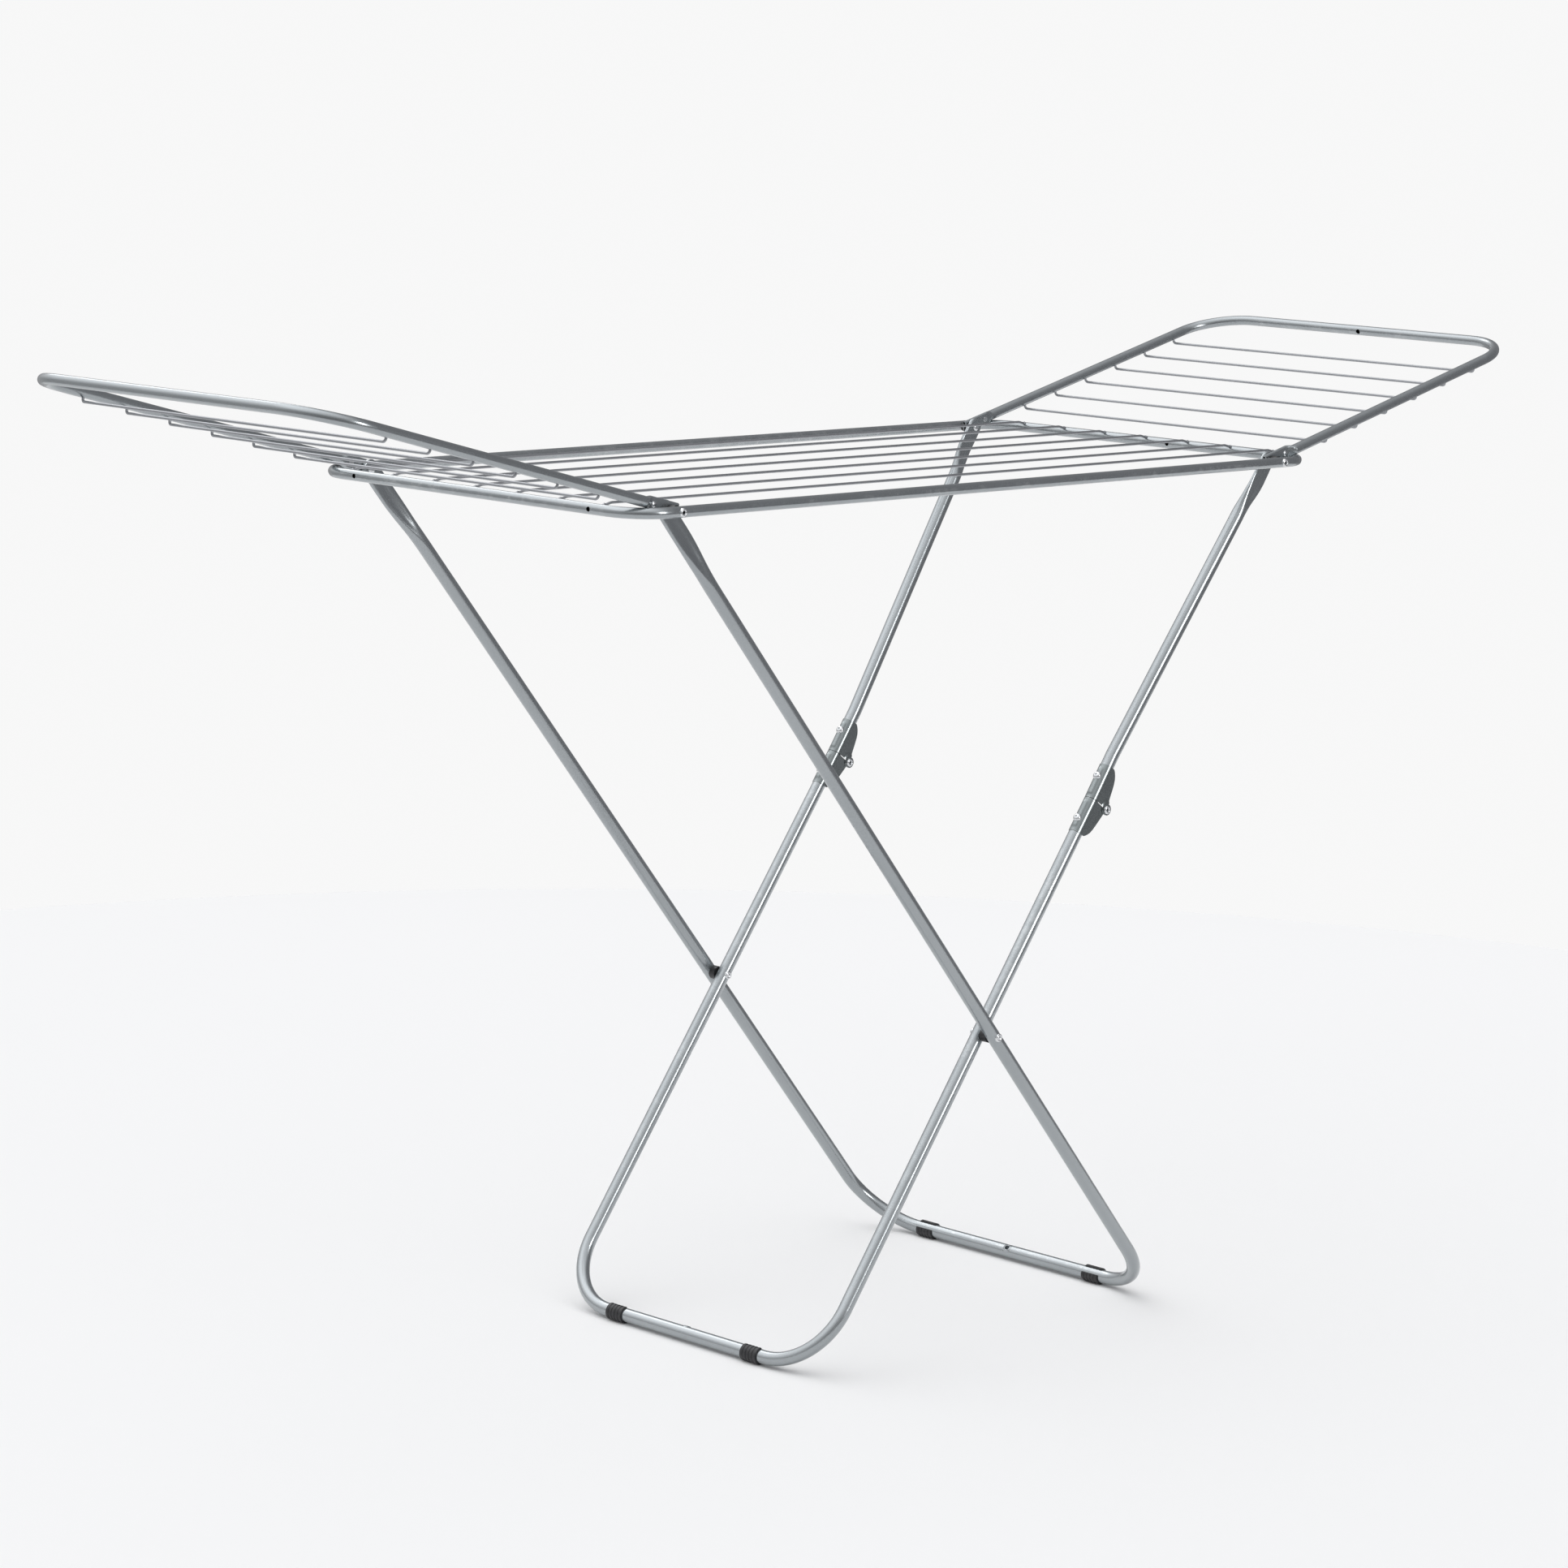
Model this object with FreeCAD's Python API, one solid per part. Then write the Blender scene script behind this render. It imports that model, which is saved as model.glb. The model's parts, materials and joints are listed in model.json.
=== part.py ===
"""Folding clothes drying rack with two wings.

A tube frame with lengthwise wires is carried by two crossed U-shaped legs.  One leg is a
single U.  The other has a knee hinge in each arm, which locks straight when the rack stands
and lets the legs fold flat under the frame.  A wing with crosswise wires is hinged at each end.

Frame: X runs along the rack, Y across it, Z up.  The origin is on the floor, in the middle.
All sizes are in millimetres.  Every piece is one solid; identical fasteners share a file.
"""
import FreeCAD, Part
import math
import os

from FreeCAD import Vector

# ---- driving dimensions -------------------------------------------------------------------
FRAME_LENGTH = 1100.0       # between the centrelines of the frame's end bars
FRAME_WIDTH = 506.0         # between the centrelines of the frame's long tubes
FRAME_HEIGHT = 990.0        # centreline of the frame above the floor
FRAME_CORNER = 45.0         # bend radius of the frame's corners, on the centreline
PIVOT_X = 492.0             # hinge rivets, out from the middle
FRAME_TUBE = 6.0            # outer radius of the frame and wing tubes
LEG_TUBE = 8.0              # outer radius of the leg tubes
WALL = 0.8                  # wall of every tube
WIRE = 1.5                  # radius of every wire

FOOT_A_X = 352.0            # foot bar of the one-piece leg
FOOT_B_X = -202.0           # foot bar of the kneed leg
FOOT_Z = 9.75               # foot bars above the floor, held up by the plastic feet
LEG_CORNER = 78.0           # bend radius at the foot bars
ARM_A_Y = 227.5             # arms of the one-piece leg
ARM_B_Y = 205.0             # arms of the kneed leg, which pass inside those of the other
ARM_B_TOP_Y = 225.0         # the kneed leg's upper arms splay out to here
PLATE_Y = 231.5             # middle of the flattened leg tops
KNEE_X = 231.0              # butt joint between the upper and lower arms
KNEE_Z = 609.0
PIN_OFFSET = 20.0           # knee pin, out from the tube's centreline

WING_ARM_Y = 240.6          # wing arms lie just inside the frame's long tubes
WING_LENGTH = 484.0         # hinge to the wing's outer bar
WING_RISE = 2.0             # arm centreline above the hinge
WING_ANGLE = 14.2           # slope of an opened wing
WING_CORNER = 66.0
WING_PLATE_Y = 237.1        # middle of the flattened arm ends

MAIN_WIRES = 7
MAIN_WIRE_PITCH = 65.7
WING_WIRES = 6
WING_WIRE_PITCH = 58.8
WING_WIRE_FIRST = 103.4     # hinge to the first wing wire
WING_WIRE_DROP = 10.0       # wing wires below the arms' centreline

PLATE_HALF = 2.5            # half thickness of a flattened tube end
FLAT_CORNER = 80.0          # degrees that each rounded edge of a flattened end turns to its face
SHANK = 2.5                 # radius of the hinge rivets
RUNNING = 0.05              # radial clearance of a part that turns on a rivet or pin
GAP = 0.3                   # clearance between neighbours that move past each other

SHEET = 1.2                 # knee bracket sheet
SLEEVE = 8.1                # inside radius of the knee brackets
SLEEVE_LENGTH = 44.0
KNUCKLE = 7.0               # radius of the eyes round the knee pin
PIN = 2.0                   # radius of the knee pin
BLIND = 1.6                 # radius of the blind rivets in the knee brackets
BLIND_AT = 28.0             # blind rivets, from the butt joint
ARM_RIVET = 1.8             # radius of the small rivet that closes each wing arm's end
ARM_RIVET_AT = 25.0         # small rivet, from the hinge

FOOT_A_Y = 135.0            # plastic feet, from the middle
FOOT_B_Y = 109.0
FOOT_LENGTH = 28.0
FOOT_THICK = 2.0

END_HOLE_Y = 184.0          # two holes in the left end bar
END_HOLE = 2.6
INNER_HOLE_Y = -35.0        # hole in the right end bar
BAR_HOLE = 3.0              # holes in the middle of wing bars and foot bars

JOINT_X = 200.0             # where the two ends of the frame's tube meet
SPIGOT_LENGTH = 60.0

BEYOND = 9.0                # reach of a drill past the middle of a frame or wing tube
LEG_BEYOND = 12.0           # the same for a leg tube

X, Y, Z = Vector(1, 0, 0), Vector(0, 1, 0), Vector(0, 0, 1)


# ---- helpers ------------------------------------------------------------------------------
def rod(start, end, radius):
    """A solid round bar between two points."""
    return Part.makeCylinder(radius, (end - start).Length, start, end - start)


def cap(base, axis, radius, height):
    """A domed head that stands on base and points along axis."""
    side = axis.cross(X if abs(axis.x) < 0.5 else Z).normalize()
    ball = (radius * radius + height * height) / (2.0 * height)
    half = math.asin(radius / ball) / 2.0
    centre = base + axis * (height - ball)
    edge, top = base + side * radius, base + axis * height
    middle = centre + side * (ball * math.sin(half)) + axis * (ball * math.cos(half))
    profile = Part.Wire([Part.makeLine(base, edge), Part.Arc(edge, middle, top).toShape(),
                         Part.makeLine(top, base)])
    return Part.Face(profile).revolve(base, axis, 360)


def headed(base, out, radius, height, around, depth):
    """A domed head that sits on a round tube: around is the tube, depth how far its rim reaches."""
    flange = 0.2
    skirt = rod(base - out * depth, base + out * flange, radius).cut(around)
    return skirt.fuse(cap(base + out * flange, out, radius, height))


def rounded_path(points, radius):
    """A wire of straight runs whose inner corners are arcs of one radius."""
    cuts = {}
    for i in range(1, len(points) - 1):
        here = points[i]
        back = (points[i - 1] - here).normalize()
        ahead = (points[i + 1] - here).normalize()
        half = back.getAngle(ahead) / 2.0
        middle = (back + ahead).normalize()
        reach = radius / math.tan(half)
        mid = here + middle * (radius / math.sin(half) - radius)
        cuts[i] = (here + back * reach, mid, here + ahead * reach)
    edges = []
    for i in range(len(points) - 1):
        start = cuts[i][2] if i in cuts else points[i]
        end = cuts[i + 1][0] if i + 1 in cuts else points[i + 1]
        edges.append(Part.makeLine(start, end))
        if i + 1 in cuts:
            edges.append(Part.Arc(*cuts[i + 1]).toShape())
    return Part.Wire(edges)


def swept(path, radius):
    """A solid round bar along a path that starts with a straight run."""
    first = path.OrderedEdges[0]
    start = first.valueAt(first.FirstParameter)
    along = first.tangentAt(first.FirstParameter)
    ring = Part.Wire(Part.makeCircle(radius, start, along))
    return path.makePipeShell([ring], True, True)


def section(centre, across, thick, half_width, half_thick, corner):
    """A closed outline of four arcs: round when both halves are equal, flat when they differ."""
    bow = math.radians(corner)
    x = half_width - half_thick + half_thick * math.cos(bow)
    z = half_thick * math.sin(bow)

    def at(u, v):
        return centre + across * u + thick * v

    arcs = [
        Part.Arc(at(x, z), at(0, half_thick), at(-x, z)),
        Part.Arc(at(-x, z), at(-half_width, 0), at(-x, -z)),
        Part.Arc(at(-x, -z), at(0, -half_thick), at(x, -z)),
        Part.Arc(at(x, -z), at(half_width, 0), at(x, z)),
    ]
    return Part.Wire([arc.toShape() for arc in arcs])


def flattened_half_width(radius, half_thick):
    """Half width of a round tube that is pressed flat without stretching its wall."""
    return half_thick + math.pi * (radius - half_thick) / 2.0


def pressed_end(radius, start, along, thick, stops, wall=0.0):
    """A tube end that is pressed flat.

    stops holds (distance, flatness 0 to 1, shift along thick); wall shrinks the outline, for the
    inside.
    """
    across = along.cross(thick)
    outlines = []
    for distance, flat, shift in stops:
        half_thick = radius + (PLATE_HALF - radius) * flat
        half_width = flattened_half_width(radius, half_thick)
        corner = 45.0 + (FLAT_CORNER - 45.0) * flat
        centre = start + along * distance + thick * shift
        outlines.append(section(centre, across, thick, half_width - wall, half_thick - wall, corner))
    pieces = [Part.makeLoft(outlines[i:i + 2], True, True) for i in range(len(outlines) - 1)]
    solid = pieces[0]
    for piece in pieces[1:]:
        solid = solid.fuse(piece)
    return solid


def tip_waste(hinge, along):
    """What is cut away beyond the hinge to leave a leg top with a rounded tip."""
    reach = flattened_half_width(LEG_TUBE, PLATE_HALF)
    radius = reach - 0.3
    depth, margin = 12.0, 3.0
    side = along.cross(Y) * (reach + margin)
    end = along * (reach + margin)
    low = hinge - Y * (depth / 2.0)
    corners = [low - side, low + side, low + side + end, low - side + end, low - side]
    block = Part.Face(Part.makePolygon(corners)).extrude(Y * depth)
    return block.cut(Part.makeCylinder(radius, depth, low, Y))


def ease(first, last, shift_first, shift_last, flat_first=0.0, flat_last=1.0, steps=6):
    """Stops of a smooth change from one outline to the next."""
    stops = []
    for i in range(steps + 1):
        part = i / steps
        smooth = part * part * (3.0 - 2.0 * part)
        stops.append((
            first + (last - first) * part,
            flat_first + (flat_last - flat_first) * smooth,
            shift_first + (shift_last - shift_first) * smooth,
        ))
    return stops


def placed(shape, origin, angle):
    """Turn a shape made along +X by angle (degrees) about Y, then move it to origin."""
    shape = shape.copy()
    shape.rotate(Vector(0, 0, 0), Y, angle)
    shape.translate(origin)
    return shape


def mirrored_y(shape):
    return shape.mirror(Vector(0, 0, 0), Y)


def mirrored_x(shape):
    return shape.mirror(Vector(0, 0, 0), X)


def save(name, *solids):
    """Write one node."""
    shape = solids[0] if len(solids) == 1 else Part.makeCompound(list(solids))
    if len(solids) == 1 and len(shape.Solids) == 1:
        shape = shape.Solids[0]
    for solid in shape.Solids:
        if not solid.isValid():
            print("not valid:", name)
    print(name, len(shape.Solids), round(shape.Volume))
    shape.exportStep("parts/%s.step" % name)


# ---- places worked out from the driving dimensions ----------------------------------------
PIVOT_A = Vector(-PIVOT_X, 0, FRAME_HEIGHT)
PIVOT_B = Vector(PIVOT_X, 0, FRAME_HEIGHT)
FOOT_A = Vector(FOOT_A_X, 0, FOOT_Z)
FOOT_B = Vector(FOOT_B_X, 0, FOOT_Z)
KNEE = Vector(KNEE_X, 0, KNEE_Z)
ALONG_A = (FOOT_A - PIVOT_A).normalize()
ALONG_LOWER = (FOOT_B - KNEE).normalize()
ALONG_UPPER = (PIVOT_B - KNEE).normalize()


def outward(along):
    """The side of a leg B arm that faces away from the rack's middle, where the knee pin is."""
    return Vector(abs(along.z), 0, -abs(along.x))


KNEE_PIN = KNEE + outward((PIVOT_B - FOOT_B).normalize()) * PIN_OFFSET


def crossing():
    """Where the arms of the two legs cross, seen from the side."""
    span = FOOT_A - PIVOT_A
    other = KNEE - FOOT_B
    gap = FOOT_B - PIVOT_A
    share = (gap.x * other.z - gap.z * other.x) / (span.x * other.z - span.z * other.x)
    return PIVOT_A + span * share


CROSS = crossing()


# ---- frame --------------------------------------------------------------------------------
def frame_path():
    half_x, half_y = FRAME_LENGTH / 2.0, FRAME_WIDTH / 2.0
    z = FRAME_HEIGHT
    seam = 0.1
    return rounded_path([
        Vector(JOINT_X - seam, half_y, z), Vector(-half_x, half_y, z),
        Vector(-half_x, -half_y, z), Vector(half_x, -half_y, z),
        Vector(half_x, half_y, z), Vector(JOINT_X + seam, half_y, z),
    ], FRAME_CORNER)


def frame_tube():
    """One bent tube whose ends meet on a spigot and are held by two pressed dimples."""
    tube = swept(frame_path(), FRAME_TUBE).cut(swept(frame_path(), FRAME_TUBE - WALL))
    half_x, half_y = FRAME_LENGTH / 2.0, FRAME_WIDTH / 2.0
    cuts = []
    for x in (-PIVOT_X, PIVOT_X):
        for y in (-half_y, half_y):
            middle = Vector(x, y, FRAME_HEIGHT)
            cuts.append(rod(middle - Y * BEYOND, middle + Y * BEYOND, SHANK))
    for x, y in ((-half_x, -END_HOLE_Y), (-half_x, END_HOLE_Y), (half_x, INNER_HOLE_Y)):
        middle = Vector(x, y, FRAME_HEIGHT)
        cuts.append(rod(middle - X * BEYOND, middle, END_HOLE))
    dimple, depth = 4.0, 0.45
    for x in (JOINT_X - 8, JOINT_X + 8):
        centre = Vector(x, half_y - FRAME_TUBE - dimple + depth, FRAME_HEIGHT)
        cuts.append(Part.makeSphere(dimple, centre))
    return tube.cut(cuts)


def frame_joint_spigot():
    half_y = FRAME_WIDTH / 2.0
    radius = FRAME_TUBE - WALL
    start = Vector(JOINT_X - SPIGOT_LENGTH / 2.0, half_y, FRAME_HEIGHT)
    end = start + X * SPIGOT_LENGTH
    return rod(start, end, radius).cut(rod(start, end, radius - 1.0))


def bent_wire(points):
    """A wire through a few points, with short bends rounded by balls."""
    wire = rod(points[0], points[1], WIRE)
    for i in range(1, len(points) - 1):
        wire = wire.fuse(Part.makeSphere(WIRE, points[i]))
        wire = wire.fuse(rod(points[i], points[i + 1], WIRE))
    return wire.removeSplitter()


def main_wire(y, bars):
    """A lengthwise wire whose ends dip to the end bars, where they are welded."""
    half_x = FRAME_LENGTH / 2.0
    level = FRAME_HEIGHT + FRAME_TUBE + 1.0
    bend, tip = half_x - 13.0, half_x - 3.0
    low = FRAME_HEIGHT + 3.5
    points = [Vector(-tip, y, low), Vector(-bend, y, level), Vector(bend, y, level), Vector(tip, y, low)]
    return bent_wire(points).cut(bars)


def end_bars():
    half_x = FRAME_LENGTH / 2.0
    bars = [rod(Vector(x, -200, FRAME_HEIGHT), Vector(x, 200, FRAME_HEIGHT), FRAME_TUBE)
            for x in (-half_x, half_x)]
    return bars[0].fuse(bars[1])


def hinge_rivet(x, side):
    """A rivet through the frame, a spacer, a wing arm and a leg top, with a dimpled outer head."""
    outer = FRAME_WIDTH / 2.0 + FRAME_TUBE
    inner = PLATE_Y - PLATE_HALF - GAP
    head, height = 4.6, 1.8
    out, base = Y * side, Vector(x, 0, FRAME_HEIGHT)
    rivet = rod(base + out * inner, base + out * outer, SHANK)
    middle = base + out * (FRAME_WIDTH / 2.0)
    tube = rod(middle - X * 20, middle + X * 20, FRAME_TUBE)
    rivet = rivet.fuse([headed(base + out * outer, out, head, height, tube, 2.0),
                        cap(base + out * inner, out * -1, head, height)])
    return rivet.cut(rod(base + out * (outer - 1), base + out * (outer + 3), 1.6))


def hinge_spacer(x, side):
    """A plastic ring that keeps a wing arm off the frame's long tube."""
    inner = WING_PLATE_Y + PLATE_HALF + GAP
    outer = FRAME_WIDTH / 2.0 - FRAME_TUBE + 1.5
    base = Vector(x, 0, FRAME_HEIGHT)
    ring = rod(base + Y * side * inner, base + Y * side * outer, 6.5)
    tube = rod(base - X * 20 + Y * side * (FRAME_WIDTH / 2.0),
               base + X * 20 + Y * side * (FRAME_WIDTH / 2.0), FRAME_TUBE)
    hole = rod(base + Y * side * (inner - 1), base + Y * side * (outer + 1), SHANK)
    return ring.cut([tube, hole])


# ---- wings --------------------------------------------------------------------------------
WING_TAIL = 11.0            # the arm's open end beyond the hinge
WING_FLAT_END = 29.0
WING_ROUND_FROM = 40.0


def wing_tube():
    """A U of tube in the wing's own plane: hinge at the origin, outer bar along +X."""
    corners = [Vector(WING_ROUND_FROM, -WING_ARM_Y, WING_RISE), Vector(WING_LENGTH, -WING_ARM_Y, WING_RISE),
               Vector(WING_LENGTH, WING_ARM_Y, WING_RISE), Vector(WING_ROUND_FROM, WING_ARM_Y, WING_RISE)]
    path = rounded_path(corners, WING_CORNER)
    outer = swept(path, FRAME_TUBE)
    inner = swept(path, FRAME_TUBE - WALL)
    shift = WING_PLATE_Y - WING_ARM_Y
    stops = [(-WING_TAIL, 1.0, shift)]
    stops += ease(WING_FLAT_END, WING_ROUND_FROM, shift, 0.0, 1.0, 0.0)
    for side in (-1, 1):
        start = Vector(0, side * WING_ARM_Y, WING_RISE)
        outer = outer.fuse(pressed_end(FRAME_TUBE, start, X, Y * side, stops))
        inner = inner.fuse(pressed_end(FRAME_TUBE, start, X, Y * side, stops, WALL))
    tube = outer.cut(inner)
    for side in (-1, 1):
        inside, outside = Y * side * (WING_PLATE_Y - BEYOND), Y * side * (WING_PLATE_Y + BEYOND)
        tube = tube.cut(rod(inside, outside, SHANK + RUNNING))
        at = Vector(ARM_RIVET_AT, 0, WING_RISE)
        tube = tube.cut(rod(at + inside, at + outside, ARM_RIVET))
    hole = Vector(WING_LENGTH, 0, WING_RISE)
    return tube.cut(rod(hole - X * BEYOND, hole, BAR_HOLE)).removeSplitter()


def wing_wire(index):
    """A crosswise wire that hangs below the arms on short turned-up ends."""
    x = WING_WIRE_FIRST + index * WING_WIRE_PITCH
    z = WING_RISE - WING_WIRE_DROP
    end = WING_ARM_Y - 2.0
    top = WING_RISE - 3.0
    wire = bent_wire([Vector(x, -end, top), Vector(x, -end, z), Vector(x, end, z), Vector(x, end, top)])
    arms = [rod(Vector(x - 9, side * WING_ARM_Y, WING_RISE), Vector(x + 9, side * WING_ARM_Y, WING_RISE),
                FRAME_TUBE) for side in (-1, 1)]
    return wire.cut(arms)


def arm_rivet(side):
    """A small rivet that closes the flattened end of a wing arm."""
    at = Vector(ARM_RIVET_AT, 0, WING_RISE)
    out = Y * side
    inner, outer = WING_PLATE_Y - PLATE_HALF, WING_PLATE_Y + PLATE_HALF
    rivet = rod(at + out * inner, at + out * outer, ARM_RIVET)
    return rivet.fuse([cap(at + out * outer, out, 3.2, 1.2), cap(at + out * inner, out * -1, 3.2, 0.25)])


def opened(shape):
    """Lift a wing shape to its opened slope at the right-hand end of the frame."""
    return placed(shape, PIVOT_B, -WING_ANGLE)


# ---- legs ---------------------------------------------------------------------------------
def leg_top(start, along, y_from, flat_length, round_length, wall=0.0):
    """A leg top: round tube that is pressed into a plate, as far as the tip beyond the hinge."""
    shift = PLATE_Y - y_from
    stops = ease(0.0, round_length - flat_length, 0.0, shift)
    tip = round_length + flattened_half_width(LEG_TUBE, PLATE_HALF)
    stops.append((tip + (1.0 if wall else 0.0), 1.0, shift))
    return pressed_end(LEG_TUBE, start, along, Y, stops, wall)


def leg_a_tube():
    """The one-piece leg: two arms and a foot bar bent from one tube."""
    flat, round_length = 36.0, 120.0
    joint = PIVOT_A + ALONG_A * round_length
    y = Y * ARM_A_Y
    path = rounded_path([joint - y, FOOT_A - y, FOOT_A + y, joint + y], LEG_CORNER)
    solids = []
    for wall in (0.0, WALL):
        top = leg_top(joint + y, ALONG_A * -1, ARM_A_Y, flat, round_length, wall)
        solids.append(swept(path, LEG_TUBE - wall).fuse([top, mirrored_y(top)]))
    tube = solids[0].cut(solids[1])
    for side in (-1, 1):
        out = Y * side
        tube = tube.cut([
            rod(PIVOT_A + out * (PLATE_Y - BEYOND), PIVOT_A + out * (PLATE_Y + BEYOND), SHANK + RUNNING),
            rod(CROSS + out * (ARM_A_Y - LEG_BEYOND), CROSS + out * (ARM_A_Y + LEG_BEYOND), SHANK),
            tip_waste(PIVOT_A + out * PLATE_Y, ALONG_A * -1),
        ])
    return tube.cut(foot_bar_hole(FOOT_A, ALONG_A))


def foot_bar_hole(foot, along):
    """A hole in the middle of a foot bar, on the side that faces the arms."""
    return rod(foot - along * LEG_BEYOND, foot, BAR_HOLE)


def leg_b_lower_tube():
    """The lower part of the kneed leg: two arms and a foot bar."""
    top = KNEE + ALONG_LOWER * GAP
    y = Y * ARM_B_Y
    path = rounded_path([top - y, FOOT_B - y, FOOT_B + y, top + y], LEG_CORNER)
    tube = swept(path, LEG_TUBE).cut(swept(path, LEG_TUBE - WALL))
    blind = KNEE + ALONG_LOWER * BLIND_AT
    away = outward(ALONG_LOWER)
    for side in (-1, 1):
        out = Y * side
        tube = tube.cut([
            rod(CROSS + out * (ARM_B_Y - LEG_BEYOND), CROSS + out * (ARM_B_Y + LEG_BEYOND), SHANK),
            rod(blind + out * ARM_B_Y, blind + out * ARM_B_Y - away * LEG_BEYOND, BLIND),
        ])
    return tube.cut(foot_bar_hole(FOOT_B, ALONG_LOWER))


def leg_b_upper_tube():
    """One upper arm of the kneed leg, on the +Y side."""
    flat, pressed, straight = 24.0, 78.0, 60.0
    length = (PIVOT_B - KNEE).Length
    start = KNEE + Y * ARM_B_Y
    splay = ARM_B_TOP_Y - ARM_B_Y
    joint = KNEE + ALONG_UPPER * (length - pressed) + Y * ARM_B_TOP_Y
    straights = [(GAP, 0.0, 0.0), (straight, 0.0, 0.0), (length - pressed, 0.0, splay)]
    tube = pressed_end(LEG_TUBE, start, ALONG_UPPER, Y, straights)
    tube = tube.fuse(leg_top(joint, ALONG_UPPER, ARM_B_TOP_Y, flat, pressed))
    inside = pressed_end(LEG_TUBE, start, ALONG_UPPER, Y, straights, WALL)
    inside = inside.fuse(leg_top(joint, ALONG_UPPER, ARM_B_TOP_Y, flat, pressed, WALL))
    blind = start + ALONG_UPPER * BLIND_AT
    return tube.cut([
        inside,
        rod(PIVOT_B + Y * (PLATE_Y - BEYOND), PIVOT_B + Y * (PLATE_Y + BEYOND), SHANK + RUNNING),
        rod(blind, blind - outward(ALONG_UPPER) * LEG_BEYOND, BLIND),
        tip_waste(PIVOT_B + Y * PLATE_Y, ALONG_UPPER),
    ])


def cross_rivet_outer(side):
    """Head and shank that hold the one-piece leg's arm and its spacer."""
    out = Y * side
    outer, inner = ARM_A_Y + LEG_TUBE, ARM_B_Y + LEG_TUBE + GAP
    arm = rod(CROSS - ALONG_A * 20 + out * ARM_A_Y, CROSS + ALONG_A * 20 + out * ARM_A_Y, LEG_TUBE)
    head = headed(CROSS + out * outer, out, 4.8, 2.0, arm, 2.0)
    return rod(CROSS + out * inner, CROSS + out * outer, SHANK).fuse(head)


def cross_rivet_inner(side):
    """Head and shank end in the kneed leg's arm."""
    out = Y * side
    outer, inner = ARM_B_Y + LEG_TUBE, ARM_B_Y - LEG_TUBE
    arm = rod(CROSS - ALONG_LOWER * 20 + out * ARM_B_Y, CROSS + ALONG_LOWER * 20 + out * ARM_B_Y, LEG_TUBE)
    head = headed(CROSS + out * inner, out * -1, 4.8, 2.0, arm, 2.0)
    return rod(CROSS + out * inner, CROSS + out * outer, SHANK).fuse(head)


def cross_spacer(side):
    """A plastic collar between the crossing arms, shaped to the one-piece leg's tube."""
    out = Y * side
    inner, outer = ARM_B_Y + LEG_TUBE + GAP, ARM_A_Y - LEG_TUBE + 2.5
    arm = rod(CROSS - ALONG_A * 20 + out * ARM_A_Y, CROSS + ALONG_A * 20 + out * ARM_A_Y, LEG_TUBE)
    collar = rod(CROSS + out * inner, CROSS + out * outer, 8.0)
    return collar.cut([arm, rod(CROSS + out * (inner - 1), CROSS + out * (outer + 1), SHANK)])


def foot(bar, along, y):
    """A ribbed plastic clip on a foot bar, open towards the arms and flat where it stands."""
    radius = LEG_TUBE + FOOT_THICK
    start, end = bar + Y * (y - FOOT_LENGTH / 2.0), bar + Y * (y + FOOT_LENGTH / 2.0)
    clip = rod(start, end, radius)
    rib_width, ribs = 3.0, 4
    pitch = (FOOT_LENGTH - rib_width) / (ribs - 1)
    groove = 0.5
    for i in range(ribs - 1):
        middle = start + Y * (rib_width + (pitch - rib_width) / 2.0 + i * pitch)
        ring = rod(middle - Y * (pitch - rib_width) / 2.0, middle + Y * (pitch - rib_width) / 2.0, radius + 1)
        clip = clip.cut(ring.cut(rod(start, end, radius - groove)))
    clip = clip.cut(rod(start - Y, end + Y, LEG_TUBE))
    mouth = Part.makeBox(20, FOOT_LENGTH + 2, 9.0, Vector(0, y - FOOT_LENGTH / 2.0 - 1, -4.5))
    clip = clip.cut(placed(mouth, bar, math.degrees(math.atan2(along.z, -along.x))))
    floor = Part.makeBox(60, FOOT_LENGTH + 2, 5, Vector(bar.x - 30, y - FOOT_LENGTH / 2.0 - 1, -5))
    return clip.cut(floor)


# ---- knee hinges --------------------------------------------------------------------------
def knee_frame(along, side):
    """Maker of points from (distance along the arm, outward offset, offset along Y)."""
    away = outward(along)
    origin = KNEE + Y * side * ARM_B_Y

    def at(t, n, y=0.0):
        return origin + along * t + away * n + Y * y

    return at


def sheet(at, outline, y_from, y_to):
    """A flat plate across Y, from (t, n) corners."""
    corners = [at(t, n, y_from) for t, n in outline]
    face = Part.Face(Part.makePolygon(corners + corners[:1]))
    return face.extrude(Y * (y_to - y_from))


def sleeve(at, first, last):
    """A half round wall that hugs the back of the arm."""
    ring = rod(at(first, 0), at(last, 0), SLEEVE + SHEET).cut(rod(at(first, 0), at(last, 0), SLEEVE))
    far = SLEEVE + SHEET + 1
    front = sheet(at, [(first - 1, 0), (last + 1, 0), (last + 1, far), (first - 1, far)], -far, far)
    return ring.cut(front)


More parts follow.
